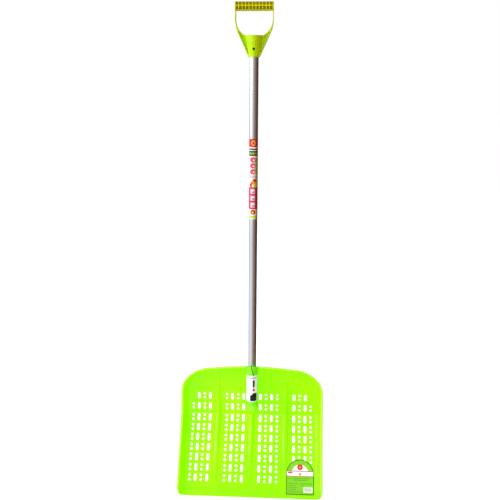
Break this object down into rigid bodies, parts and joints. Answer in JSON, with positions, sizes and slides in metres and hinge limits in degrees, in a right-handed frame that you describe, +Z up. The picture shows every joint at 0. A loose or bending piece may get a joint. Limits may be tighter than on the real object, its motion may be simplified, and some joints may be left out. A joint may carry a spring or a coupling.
{
  "type": "grain scoop shovel",
  "caption": "Long-handled scoop shovel with a shallow perforated blade, a straight tube handle and a D-shaped grip, for lifting and sifting grain.",
  "frame": {"origin": "middle of the underside of the grip's bar, where a peg carries the hanging shovel", "axes": "+Z up along the tube towards the grip, -Y out of the scoop's open side, +X to the right seen from the front"},
  "size_m": [0.45, 0.183, 1.4355],
  "materials": {
    "blade_plastic": "glossy translucent polycarbonate",
    "tube_metal": "bright anodised",
    "grip_plastic": "satin moulded",
    "plug_plastic": "as moulded",
    "screw_steel": "black oxide",
    "tube_film": "printed gloss film",
    "socket_film": "printed gloss film",
    "blade_film": "printed gloss film"
  },
  "bodies": {
    "root": {"blade": "blade_plastic", "pipe": "tube_metal", "d_grip": "grip_plastic", "upper_plug": "plug_plastic", "lower_plug": "plug_plastic", "grip_screw": "screw_steel", "socket_screws": "screw_steel", "pipe_label": "tube_film", "socket_label": "socket_film", "blade_label": "blade_film"}
  },
  "joints": []
}
